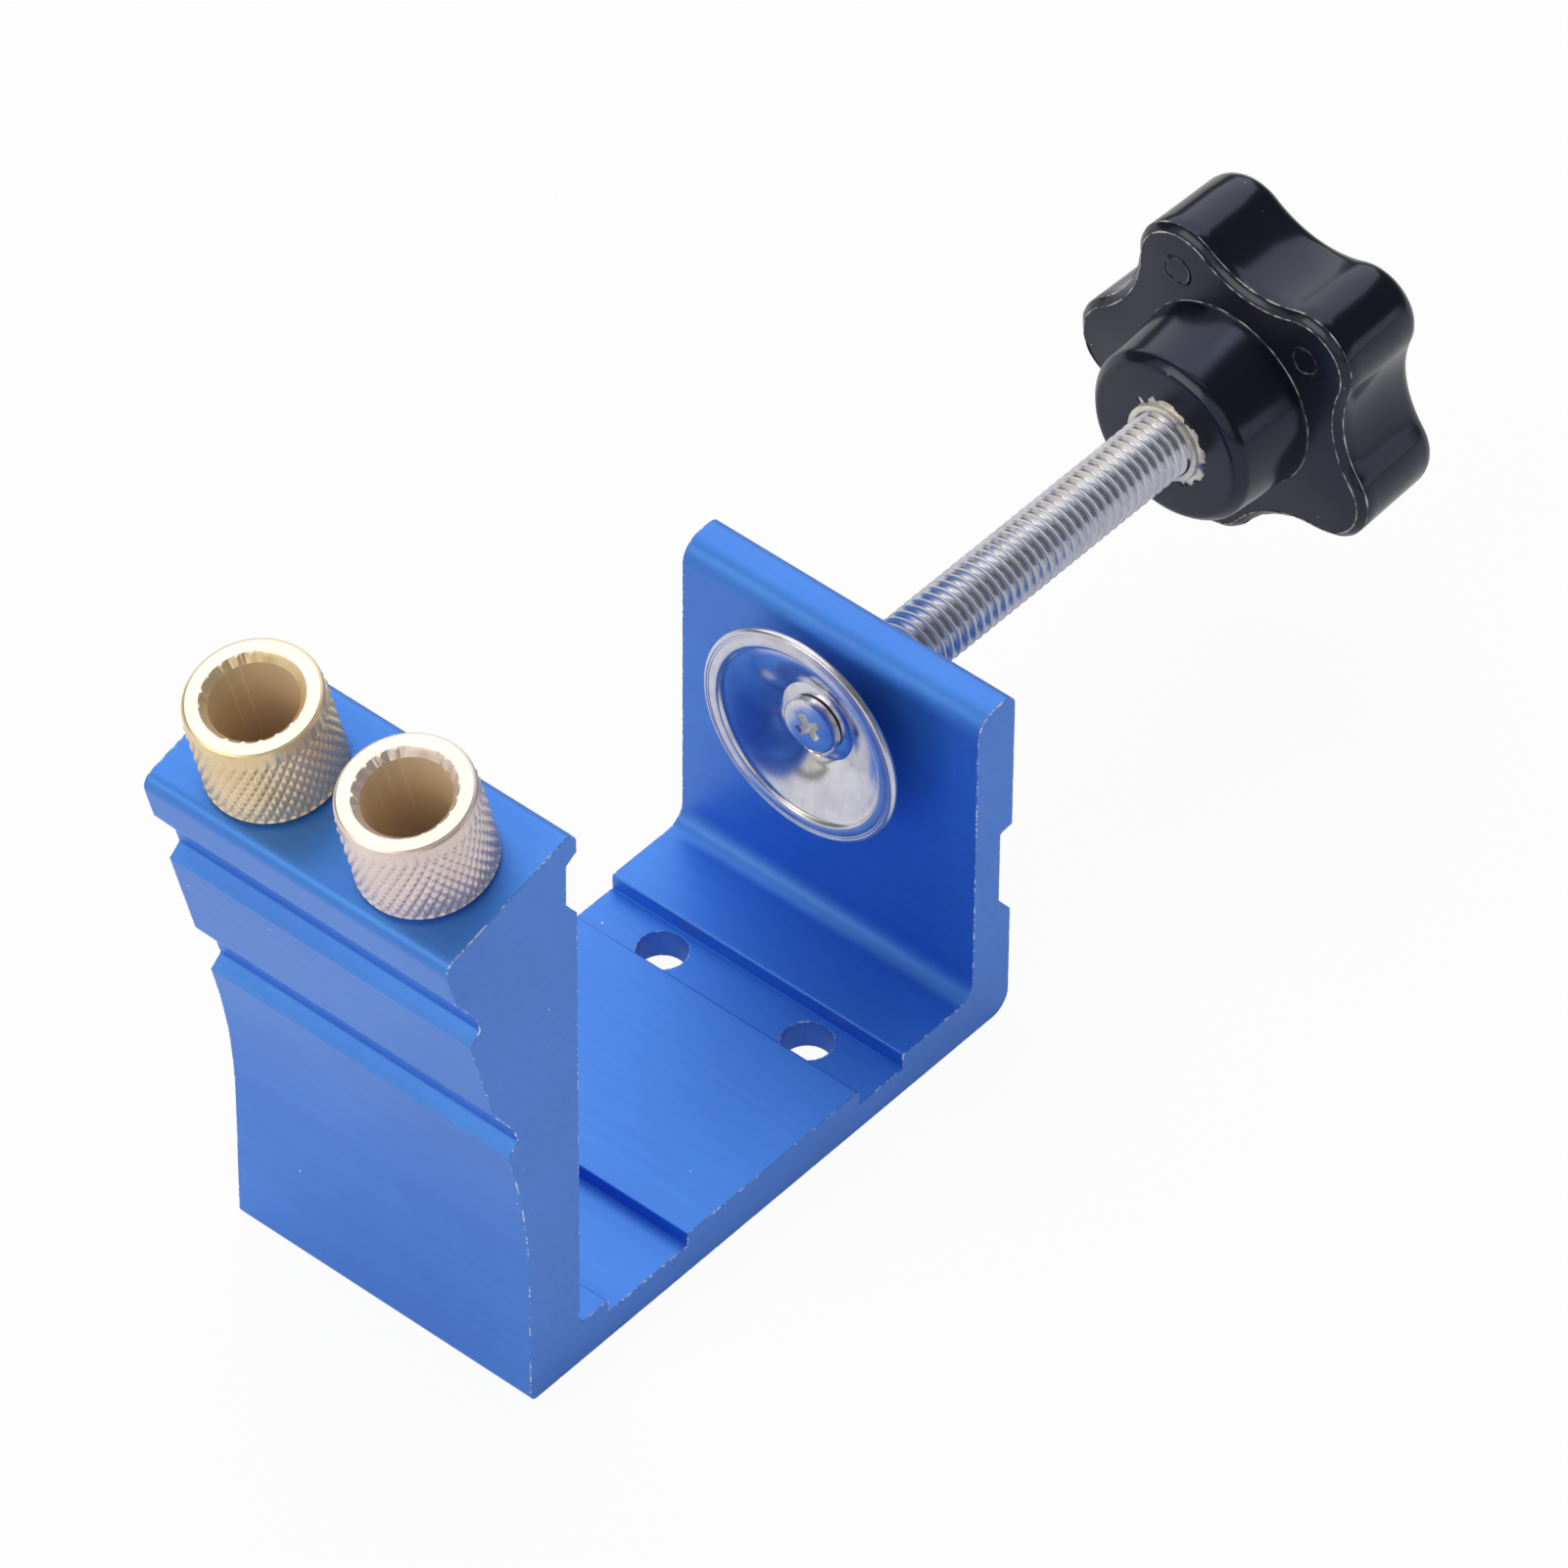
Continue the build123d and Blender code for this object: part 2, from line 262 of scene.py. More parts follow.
def makeBlueAnodising():
    look = blueAnodising
    material, tree, principled, place = startMaterial(
        "anodised aluminium, blue", Metallic=0.8, Coat_Weight=0.74, Coat_Roughness=0.45,
        Coat_IOR=1.6)
    geometry = addNode(tree, "ShaderNodeNewGeometry")
    endFace = addMath(tree, "GREATER_THAN",
                      addLean(tree, geometry.outputs["True Normal"], "Y"), look["endLean"])

    # die lines run the length of the extrusion, along Y: broad streaks and a few scores
    stretched = addNode(tree, "ShaderNodeMapping", {
        "Vector": place, "Scale": (1, look["dieLineStretch"], 1)})
    dieLines = addNoise(tree, stretched.outputs[0], look["dieLineMm"], 4.0, 0.65)
    scores = addRange(tree, dieLines, look["scoreRange"])
    cloud = addNoise(tree, place, look["cloudMm"], 3.0)
    blotched = addRange(tree, addMath(tree, "ADD", cloud, dieLines), look["blotchRange"])
    dyed = addMix(tree, blotched, look["dye"], look["dyeDark"])

    # the sawn edges of the section: the skin is thin and little nicks show bare metal
    rounded = addNode(tree, "ShaderNodeBevel", {"Radius": look["edgeMm"] * mm}, samples=8)
    lean = addLean(tree, rounded.outputs[0], "Y")
    onEdge = addMath(tree, "MULTIPLY", addRange(tree, lean, look["edgeLeanRise"]),
                     addRange(tree, lean, look["edgeLeanFall"]))
    bent = addNode(tree, "ShaderNodeVectorMath", {
        0: rounded.outputs[0], 1: geometry.outputs["Normal"]}, operation="DOT_PRODUCT")
    onEdge = addMath(tree, "MULTIPLY", onEdge,
                     addRange(tree, bent.outputs["Value"], look["edgeBend"]))
    fine = addNoise(tree, place, look["nickMm"], 2.0, 0.7)
    patchy = addNoise(tree, place, look["nickPatchMm"], 1.0)
    together = addMath(tree, "MULTIPLY_ADD", patchy, look["nickPatchShare"], fine)
    nicks = addMath(tree, "MULTIPLY", onEdge, addRange(tree, together, look["nickRange"]))
    specks = addSpecks(tree, place, look["speckCellMm"], look["speckRadius"])
    worn = addMath(tree, "MAXIMUM", nicks, specks)

    # roughness: streaked along the die lines, a little rougher on the sawn ends
    streaked = addRange(tree, dieLines, (0.0, 1.0), look["roughness"])
    rough = addMath(tree, "MULTIPLY_ADD", endFace, look["sawnRougher"], streaked)

    # relief: etched grain everywhere, scores, and broad arcs of the saw on the ends
    grain = addNoise(tree, place, look["grainMm"], 2.0)
    shifted = addNode(tree, "ShaderNodeMapping", {
        "Vector": place, "Location": look["sawArcShift"]})
    arcs = addNode(tree, "ShaderNodeTexWave", {
        "Vector": shifted.outputs[0], "Scale": look["sawArcScale"], "Distortion": 1.5,
        "Detail": 2.0, "Detail Scale": 1.0}, wave_type="RINGS", rings_direction="Y")
    sawn = addMath(tree, "MULTIPLY", arcs.outputs["Fac"], endFace)
    relief = addMath(tree, "MULTIPLY_ADD", sawn, look["sawArcHeight"], grain)
    relief = addMath(tree, "MULTIPLY_ADD", scores, look["scoreHeight"], relief)
    bump = addBump(tree, relief, look["reliefStrength"], look["reliefMm"],
                   Normal=rounded.outputs[0])
    linkShader(principled, {"Base Color": addMix(tree, worn, dyed, look["bareMetal"]),
                            "Roughness": rough, "Normal": bump})
    return material


# Turned steel with a thin brassy wash over it. To the eye: pale gold with fine turning
# marks, pinker on the near guide than on the far one. The top faces get a near white, less
# metallic coat of their own: a painted highlight where they face the light.
guideCoat = {
    # each coat: pale and deep colour, metal share, roughness of smoothest and roughest spots
    "far": ("#fdeecf", "#ebca94", 0.65, (0.24, 0.36)),
    "near": ("#fdf1ec", "#e6cfcc", 0.65, (0.24, 0.36)),
    # faces: the guides' top faces, near white and less metallic, a painted highlight
    "faces": ("#fffbf2", "#fff4de", 0.45, (0.2, 0.3)),
    "patchMm": 5.0,
    "turningMm": 0.22,
    "turningStrength": 0.15,
    "turningDepthMm": 0.02,
}


def makeGuideCoat(which):
    look = guideCoat
    pale, deep, metalShare, roughness = look[which]
    material, tree, principled, place = startMaterial(
        "turned steel, brass wash, " + which, Metallic=metalShare)
    patches = addNoise(tree, place, look["patchMm"], 3.0)
    turning = addNoise(tree, place, look["turningMm"], 2.0)
    linkShader(principled, {
        "Base Color": addMix(tree, patches, pale, deep),
        "Roughness": addRange(tree, turning, (0.0, 1.0), roughness),
        "Normal": addBump(tree, turning, look["turningStrength"], look["turningDepthMm"])})
    return material


# Drilled bore of the guide: unpolished, in patches of brown and grey.
boreSkin = {"brown": "#f4dcb6", "grey": "#dccbb2", "patchMm": 4.0}


def makeBoreSkin():
    look = boreSkin
    material, tree, principled, place = startMaterial(
        "drilled steel, brown", Metallic=0.15, Roughness=0.6)
    patches = addNoise(tree, place, look["patchMm"], 4.0)
    linkShader(principled, {"Base Color": addMix(tree, patches, look["brown"], look["grey"])})
    return material


# Steel with a bright, clear passivated zinc plate. To the eye: a cool white metal with
# faint violet and blue clouds and hairline scratches.
brightZinc = {
    "clouds": ((0.3, "#cdd2de"), (0.42, "#d6d4e0"), (0.56, "#e0e2ea")),  # blue, violet, zinc
    "cloudMm": 3.5,
    "scratchMm": 0.4,
    "scratchStrength": 0.08,
    "scratchDepthMm": 0.02,
    # each finish: roughness of its smoothest and its roughest spots, and its metal share
    "polished": ((0.14, 0.27), 1.0),
    "satin": ((0.2, 0.3), 0.94),
    "pressed": ((0.11, 0.2), 0.98),
    "rolled": ((0.14, 0.26), 0.9),
    # the thread's crests, duller and paler than the plate: partly wear, partly a painted highlight
    # line along each crest
    "rubbedAndHighlit": ((0.4, 0.55), 0.35),
}


def makeBrightZinc(finish):
    look = brightZinc
    roughness, metalShare = look[finish]
    material, tree, principled, place = startMaterial(
        "zinc plated steel, " + finish, Metallic=metalShare)
    cloud = addNoise(tree, place, look["cloudMm"], 4.0, 0.65)
    scratch = addNoise(tree, place, look["scratchMm"], 3.0)
    linkShader(principled, {
        "Base Color": addRamp(tree, cloud, look["clouds"]),
        "Roughness": addRange(tree, scratch, (0.0, 1.0), roughness),
        "Normal": addBump(tree, scratch, look["scratchStrength"], look["scratchDepthMm"])})
    return material


# The same plate, painted darker in the thread's roots: painted shade. To the eye: a
# darker, duller grey between the bright crests.
rootShade = {"grey": "#dadde6", "dark": "#aeb2be", "shadeCloudMm": 1.5}


def makeRootShade():
    look = rootShade
    material, tree, principled, place = startMaterial(
        "zinc plated steel, painted root shade", Metallic=0.95, Roughness=0.18)
    shadeCloud = addNoise(tree, place, look["shadeCloudMm"], 3.0)
    linkShader(principled, {"Base Color": addMix(tree, shadeCloud, look["grey"], look["dark"])})
    return material


# Die cast zinc insert, barely plated. To the eye: a cream grey, a little rough, with
# violet stains from the passivation.
castZinc = {
    "stains": ((0.36, "#6f6fae"), (0.43, "#d2d0cc"), (0.6, "#f0eee6")),  # violet, grey, cream
    "stainMm": 2.2,
    "pittingStrength": 0.4,
    "pittingDepthMm": 0.04,
}


def makeCastZinc():
    look = castZinc
    material, tree, principled, place = startMaterial(
        "die cast zinc, cream", Metallic=0.55, Roughness=0.36)
    cloud = addNoise(tree, place, look["stainMm"], 4.0, 0.6)
    linkShader(principled, {
        "Base Color": addRamp(tree, cloud, look["stains"]),
        "Normal": addBump(tree, cloud, look["pittingStrength"], look["pittingDepthMm"])})
    return material


# Phenolic moulding, gloss black. To the eye: a blue black mirror with slow waves in it,
# and specks of dust.
blackMoulding = {
    "black": "#0f121c",
    "sheen": "#d3dcff",
    "dust": "#c9ccd6",
    "dustCellMm": 2.6,
    "dustRadius": 0.03,
    "flatLean": (0.8, 0.95),
    "roughness": (0.18, 0.26),  # of the sides and of the flat faces
    "wavesMm": 9.0,
    "wavesStrength": 0.3,
    "wavesDepthMm": 0.12,
}


def makeBlackMoulding():
    look = blackMoulding
    material, tree, principled, place = startMaterial(
        "phenolic moulding, gloss black", IOR=1.58,
        Specular_Tint=linearColour(look["sheen"]))
    dust = addSpecks(tree, place, look["dustCellMm"], look["dustRadius"])
    # the flat faces came off a duller part of the mould
    geometry = addNode(tree, "ShaderNodeNewGeometry")
    flat = addLean(tree, geometry.outputs["Normal"], "X")
    waves = addNoise(tree, place, look["wavesMm"], 1.0)
    linkShader(principled, {
        "Base Color": addMix(tree, dust, look["black"], look["dust"]),
        "Roughness": addRange(tree, flat, look["flatLean"], look["roughness"]),
        "Normal": addBump(tree, waves, look["wavesStrength"], look["wavesDepthMm"])})
    return material


# The same moulding where flash was scraped off its edges: dull, with pale broken streaks
# that paint the thin highlight lines along the knob's edges and round the pin marks.
scrapedEdgeHighlight = {"dark": "#232328", "pale": "#bdbbb8", "highlightStreakMm": 1.4, "paleHighlightRange": (0.42, 0.56)}


def makeScrapedEdgeHighlight():
    look = scrapedEdgeHighlight
    material, tree, principled, place = startMaterial(
        "phenolic moulding, scraped edge", Roughness=0.42, IOR=1.55)
    streaks = addNoise(tree, place, look["highlightStreakMm"], 4.0, 0.6)
    pale = addRange(tree, streaks, look["paleHighlightRange"])
    linkShader(principled, {"Base Color": addMix(tree, pale, look["dark"], look["pale"])})
    return material


anodised = makeBlueAnodising()
guideFar = makeGuideCoat("far")
guideNear = makeGuideCoat("near")
guideFacesPaintedHighlight = makeGuideCoat("faces")
guideBore = makeBoreSkin()
polishedZinc = makeBrightZinc("polished")
satinZinc = makeBrightZinc("satin")
pressedZinc = makeBrightZinc("pressed")
rolledZinc = makeBrightZinc("rolled")
rubbedAndHighlitZinc = makeBrightZinc("rubbedAndHighlit")
rootShadeZinc = makeRootShade()
insertZinc = makeCastZinc()
black = makeBlackMoulding()
scrapedHighlight = makeScrapedEdgeHighlight()
print("materials made")


# ---- body: the extrusion itself is the solid

dressNode("jig_body", anodised)


# ---- drill guide bushes

guideBush = {
    "shankRadius": 6.0,
    "shankLength": 18.0,
    "undercutRadius": 7.1,
    "headRadius": 7.6,
    "headHeight": 12.1,
    "bandHeight": 2.1,
    "faceRadius": 6.95,
    "mouthRadius": 5.53,
    "mouthDepth": 0.9,
    "boreRadius": 4.78,
    "teeth": 42,
    "knurlAngle": 30.0,
    "knurlDepth": 0.24,
    "knurlFoot": 0.55,
    "knurlSlope": 0.72,  # share of a diamond that slopes, the rest of it is flat
    "rowsPerDiamond": 8,
    "chatterMarks": 19,
    "chatterDepth": 0.3,
    "chatterPatches": 1.6,  # how often they come and go round the mouth
    "chatterBias": 0.35,
}


def diamondSize():
    # of the knurl, round the head and along it, in mm
    around = 2 * math.pi * guideBush["headRadius"] / guideBush["teeth"]
    return around, around / math.tan(math.radians(guideBush["knurlAngle"]))


def knurlHeight(angle, height):
    # 0 in the grooves and 1 on the diamonds' tops, from two crossing sets of grooves
    along = height / diamondSize()[1]
    around = angle * guideBush["teeth"] / (2 * math.pi)
    low = 1.0
    for phase in (around + along, around - along):
        fromRidge = abs((phase % 1) - 0.5) * 2
        low = min(low, 1 - fromRidge)
    return min(1.0, low / guideBush["knurlSlope"])


def makeGuideBush(name, node, y, turn, coat):
    size = guideBush
    foot, head, top = size["knurlFoot"], size["headRadius"], size["headHeight"]
    shank, bottom = size["shankRadius"], -size["shankLength"]
    face, mouth, bore = size["faceRadius"], size["mouthRadius"], size["boreRadius"]
    bandStart, mouthStart = top - size["bandHeight"], top - size["mouthDepth"]
    rows = int((bandStart - foot) / (diamondSize()[1] / size["rowsPerDiamond"]))
    profile = [(bore, bottom), (shank - 0.5, bottom), (shank, bottom + 0.5), (shank, 0),
               (size["undercutRadius"], 0), (size["undercutRadius"], 0.2),
               (head - 0.12, foot - 0.05)]
    profile += [(head, foot + row * (bandStart - foot) / rows) for row in range(rows + 1)]
    profile += [(head - 0.14, bandStart + 0.16), (face + 0.42, top - 0.38),
                (face + 0.24, top - 0.12), (face, top), (mouth + 0.06, top),
                (mouth - 0.05, top - 0.08), (bore + 0.3, top - 0.55), (bore, mouthStart)]
    bm = turnedShape(profile, size["teeth"] * 8)
    for vert in bm.verts:
        radius = vert.co.xy.length / mm
        height = vert.co.z / mm
        angle = math.atan2(vert.co.y, vert.co.x) + turn
        if radius > head - 0.05 and foot <= height <= bandStart:
            cut = size["knurlDepth"] * (1 - knurlHeight(angle, height))
            vert.co.xy *= (radius - cut) / radius
        elif radius < mouth and height > mouthStart + 0.05:
            # the countersink left chatter marks in the mouth, deeper in some places
            where = Vector((math.cos(angle), math.sin(angle), y)) * size["chatterPatches"]
            patch = max(0, noise.noise(where) + size["chatterBias"])
            mark = math.sin(angle * size["chatterMarks"]) ** 3
            vert.co.xy *= (radius + size["chatterDepth"] * mark * patch) / radius
    piece = finishPiece(bm, name, guideFrame(y), "jig", coat, crease=24)
    piece.data.materials.append(guideBore)
    piece.data.materials.append(guideFacesPaintedHighlight)  # the top faces: a whiter coat, painted highlight
    toAxis = guideFrame(y).inverted()
    for polygon in piece.data.polygons:
        local = toAxis @ polygon.center / mm
        if local.xy.length < bore + 0.02:
            polygon.material_index = 1
        elif local.z > top - 0.1 and local.xy.length < face:
            polygon.material_index = 2
    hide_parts(node)


makeGuideBush("guideBushNear", "drill_bush_near", -places["guideSide"], 0.35, guideNear)
makeGuideBush("guideBushFar", "drill_bush_far", places["guideSide"], 1.2, guideFar)
print("guide bushes made")


# ---- clamp screw with its thread

clampStud = {
    "pitch": 1.25,
    "crestRadius": 3.99,
    "rootRadius": 3.24,
    "from": 31.9,
    "threadTo": 89.5,
    "to": 102.0,
    "runIn": (0.5, 0.9),  # plain length and fading length at the cup's end
    "runOut": 1.2,
    "neckRadius": 3.86,
    "shoulder": 31.65,
    "spigotRadius": 2.7,
    "spigotFrom": 30.35,
    "stepsPerTurn": 40,
    "endSteps": 48,
    "rubbedHighlightDepth": 0.13,  # from the crest inwards: the pale band, partly wear and partly painted highlight
    "shadedRootDepth": 0.24,  # from the root outwards: the band of painted shade
    "shadedRootFrom": 32.9,
}


def makeClampStud():
    size = clampStud
    crest, root, pitch = size["crestRadius"], size["rootRadius"], size["pitch"]
    start = size["from"]
    turns = int((size["threadTo"] - start) / pitch)
    # one pitch of the thread, from root to root, with a rolled round crest
    tooth = [(root, 0.0), (root + 0.05, 0.1), (root + 0.34, 0.295), (crest - 0.12, 0.49),
             (crest - 0.03, 0.545), (crest, 0.6), (crest, 0.65), (crest - 0.03, 0.705),
             (crest - 0.12, 0.76), (root + 0.34, 0.955), (root + 0.05, 1.15), (root, pitch)]
    bm = bmesh.new()
    points = [bm.verts.new((radius * mm, 0, height * mm)) for radius, height in tooth]
    edges = [bm.edges.new(pair) for pair in zip(points, points[1:])]
    bmesh.ops.spin(bm, geom=points + edges, cent=(0, 0, 0), axis=(0, 0, 1),
                   dvec=(0, 0, pitch * mm / size["stepsPerTurn"]),
                   angle=2 * math.pi * turns, steps=size["stepsPerTurn"] * turns,
                   use_merge=False)
    bmesh.ops.remove_doubles(bm, verts=bm.verts, dist=0.002 * mm)
    plain, fading = size["runIn"]
    for vert in bm.verts:  # the thread runs out over its last turn at each end
        height = vert.co.z / mm
        fade = min(1, max(0, height - plain) / fading,
                   max(0, turns * pitch - height) / size["runOut"])
        radius = vert.co.xy.length / mm
        vert.co.xy *= (root + (radius - root) * fade) / radius
    ends = [edge for edge in bm.edges if edge.is_boundary]
    bmesh.ops.holes_fill(bm, edges=ends, sides=0)

    # plain ends, each a closed turned shape that reaches into the thread's own core
    core, tip, shoulder = root + 0.02, size["spigotFrom"] - start, size["shoulder"] - start
    noseEnd, neckStart, last = 1.3, turns * pitch - 0.6, size["to"] - start
    nose = [(0, tip), (size["spigotRadius"], tip), (size["spigotRadius"], shoulder),
            (root - 0.05, shoulder), (core, shoulder + 0.3), (core, noseEnd), (0, noseEnd)]
    neck = [(0, neckStart), (core, neckStart), (size["neckRadius"], turns * pitch + 0.5),
            (size["neckRadius"], last), (0, last)]
    for profile in (nose, neck):
        mesh = meshFrom(turnedShape(profile, size["endSteps"]), "studEnd")
        bm.from_mesh(mesh)
        bpy.data.meshes.remove(mesh)
    piece = finishPiece(bm, "clampStud", clampFrame(start), "clamp", rolledZinc)
    # crests: rubbed, and painted pale as a highlight line
    piece.data.materials.append(rubbedAndHighlitZinc)
    # roots: a darker grey, painted shade
    piece.data.materials.append(rootShadeZinc)
    for polygon in piece.data.polygons:
        radius = clampRadius(polygon.center)
        if radius > crest - size["rubbedHighlightDepth"]:
            polygon.material_index = 1
        elif radius < root + size["shadedRootDepth"] and polygon.center.x > size["shadedRootFrom"] * mm:
            polygon.material_index = 2
    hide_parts("clamp_screw")


makeClampStud()
print("clamp screw made")


# ---- pressure cup

cupShell = {
    "discFront": 30.5,
    "sheet": 1.0,
    "holeRadius": 2.78,
    "discRadius": 5.0,
    "bowlRadius": 11.0,
    "bowlSteps": 16,
    "bowlSteepness": 1.42,  # slope by the disc, against 1 for straight sides
    "rimRadius": 13.25,
    "depth": 3.2,
    "rolledLines": (12.4, 12.68),
    "lineWidth": 0.22,
    "lineDepth": 0.06,
    "steps": 144,
}


def makeCup():
    size = cupShell
    disc, bowl, rim = size["discRadius"], size["bowlRadius"], size["rimRadius"]
    deep, sheet, steep = size["depth"], size["sheet"], size["bowlSteepness"]
    front = [(size["holeRadius"], 0), (disc - 0.28, 0), (disc - 0.16, 0.07), (disc - 0.04, -0.04)]
    for step in range(1, size["bowlSteps"]):
        # the bowl is steep by the disc and flattens to the rim
        share = step / size["bowlSteps"]
        sunk = (deep - 0.45) * (steep * share - (steep - 1) * share ** 2)
        front.append((disc + (bowl - disc) * share, -sunk))
    front += [(bowl, -deep + 0.42), (bowl + 0.12, -deep + 0.26), (bowl + 0.22, -deep + 0.1),
              (bowl + 0.36, -deep + 0.03)]
    back = [(radius, height + sheet) for radius, height in reversed(front)]
    half = size["lineWidth"] / 2
    for line in size["rolledLines"]:
        front += [(line - half, -deep + 0.01), (line, -deep + size["lineDepth"]),
                  (line + half, -deep)]
    front += [(rim - 0.38, -deep), (rim - 0.2, -deep + 0.07), (rim - 0.04, -deep + 0.26)]
    edge = [(rim, -deep + 0.5), (rim - 0.04, -deep + 0.8), (rim - 0.2, -deep + 0.98)]
    bm = turnedShape(front + edge + back, size["steps"])
    piece = finishPiece(bm, "cupShell", clampFrame(size["discFront"]), "cup",
                        satinZinc, crease=50)
    piece.data.materials.append(pressedZinc)
    for polygon in piece.data.polygons:
        if clampRadius(polygon.center) < bowl:
            polygon.material_index = 1
    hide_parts("pressure_cup")


makeCup()
print("pressure cup made")


# ---- cross head screw that holds the cup

cupHead = {
    "seat": 30.35,
    "shankRadius": 2.0,
    "shankLength": 8.0,
    "headRadius": 3.5,
    "headHeight": 1.4,
    "crossSpan": 4.6,
    "crossWidth": 1.35,
    "crossDepth": 0.9,
    "crossTurn": 50.0,
    "crossBottom": 0.35,  # its size there, as a share of its size at the face
    "crossProud": 0.05,  # how far the cutter stands out of the face
    "faceLean": 5.0,  # degrees that the face is out of square
    "faceBand": 0.3,  # depth of the head that leans with it
    "steps": 72,
}


def makeCupHead():
    size = cupHead
    head, tall = size["headRadius"], size["headHeight"]
    bm = turnedShape([
        (0, size["shankLength"]), (size["shankRadius"], size["shankLength"]),
        (size["shankRadius"], 0), (head - 0.1, 0), (head, -0.1), (head, -tall + 0.42),
        (head - 0.1, -tall + 0.2), (head - 0.32, -tall + 0.05), (head - 0.6, -tall),
        (0, -tall)], size["steps"])
    lean = math.tan(math.radians(size["faceLean"]))
    for vert in bm.verts:
        if vert.co.z < (-tall + size["faceBand"]) * mm:
            vert.co.z += (head * mm - vert.co.x) * lean
    piece = finishPiece(bm, "cupHead", clampFrame(size["seat"]), "clamp",
                        polishedZinc)
    # the cross recess takes the cream cast zinc coat, paler and duller than the plate: a painted
    # highlight in the cross
    piece.data.materials.append(insertZinc)

    # the recess: two crossed wedges, narrower at the bottom, cut out of the head
    cutter = bmesh.new()
    deep, proud = size["crossDepth"], size["crossProud"]
    for arm in range(2):
        made = bmesh.ops.create_cube(cutter, size=1)["verts"]
        bmesh.ops.scale(cutter, verts=made, vec=(
            size["crossSpan"] * mm, size["crossWidth"] * mm, deep * mm))
        bmesh.ops.translate(cutter, verts=made, vec=(0, 0, (deep / 2 - proud) * mm))
        for vert in made:
            if vert.co.z > 0:
                vert.co.xy *= size["crossBottom"]
        bmesh.ops.rotate(cutter, cent=(0, 0, 0), verts=made, matrix=Matrix.Rotation(
            math.radians(size["crossTurn"] + 90 * arm), 3, "Z"))
    bmesh.ops.transform(cutter, matrix=clampFrame(size["seat"] - tall), verts=cutter.verts)
    bmesh.ops.recalc_face_normals(cutter, faces=cutter.faces)
    cutMesh = meshFrom(cutter, "crossCutter")
    for polygon in cutMesh.polygons:
        polygon.material_index = 1
    for material in (polishedZinc, insertZinc):
        cutMesh.materials.append(material)
    cutObject = addObject("crossCutter", cutMesh)
    cut = piece.modifiers.new("recess", "BOOLEAN")
    cut.object = cutObject
    cut.operation = "DIFFERENCE"
    cut.solver = "EXACT"
    cut.use_self = True
    carved = evaluatedMesh(piece)
    piece.modifiers.clear()
    piece.data = carved
    bpy.data.objects.remove(cutObject)
    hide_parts("cup_screw")


makeCupHead()
print("cup screw made")


# ---- knob

starKnob = {
    "frontFace": 98.15,
    "lobes": 5,
    "phase": -10.0,
    "tipRadius": 21.0,
    "valleyRadius": 16.0,
    "lobeRadius": 6.2,
    "pointsPerArc": 24,
    "thickness": 13.2,
    "draft": 1.5,
    "rimChamfer": 0.9,
    "backRounding": 2.0,
    "roundingSteps": 6,
    "bossRootRadius": 11.45,
    "bossEdgeRadius": 10.78,
    "bossFaceRadius": 9.6,
    "bossLength": 10.3,
    "bossChamfer": 1.1,
    "pocketRadius": 5.82,
    "pocketDepth": 15.2,
    "pinRadius": 1.75,
    "pinFromAxis": 15.3,
    "pinLobes": (1, 2),
}

flashBead = {  # radii of the beads, in mm
    "rimInner": 0.08,
    "rimOuter": 0.09,
    "bossSeam": 0.06,
    "pinMark": 0.17,
    # the thin pale ring inside each pin mark is a painted highlight
    "pinHighlight": 0.035,
    "pinHighlightInset": 0.2,
    "waviness": 0.7,  # waves for each mm along the bead
    "thinnest": 0.25,  # share of the radius
}


def roundedPath(path, radius):
    # the same points, in their own directions, on a circle
    return [tuple(Vector(point).normalized() * radius) for point in path]


def ringPath(radius, count, centre=(0, 0)):
    turns = [2 * math.pi * step / count for step in range(count)]
    return [(centre[0] + radius * math.cos(turn), centre[1] + radius * math.sin(turn))
            for turn in turns]


def starPath(inset):
    # points along the star outline, moved inwards, in the knob's own plane
    size = starKnob
    each = size["pointsPerArc"]
    half = math.pi / size["lobes"]
    centre = size["tipRadius"] - size["lobeRadius"]
    reach = size["valleyRadius"] - size["lobeRadius"]
    far = (centre ** 2 - reach ** 2) / (2 * (centre * math.cos(half) - reach))
    across, outward = far * math.sin(half), far * math.cos(half) - centre
    spread = math.atan2(across, outward)
    swing = spread - half
    lobe = size["lobeRadius"] - inset
    valley = far - size["valleyRadius"] + inset
    path = []
    for number in range(size["lobes"]):
        turn = math.radians(size["phase"]) + 2 * half * number
        for step in range(each):
            angle = turn - spread + 2 * spread * step / each
            path.append((centre * math.cos(turn) + lobe * math.cos(angle),
                         centre * math.sin(turn) + lobe * math.sin(angle)))
        middle = turn + half
        for step in range(each):
            angle = middle + math.pi + swing - 2 * swing * step / each
            path.append((far * math.cos(middle) + valley * math.cos(angle),
                         far * math.sin(middle) + valley * math.sin(angle)))
    return path


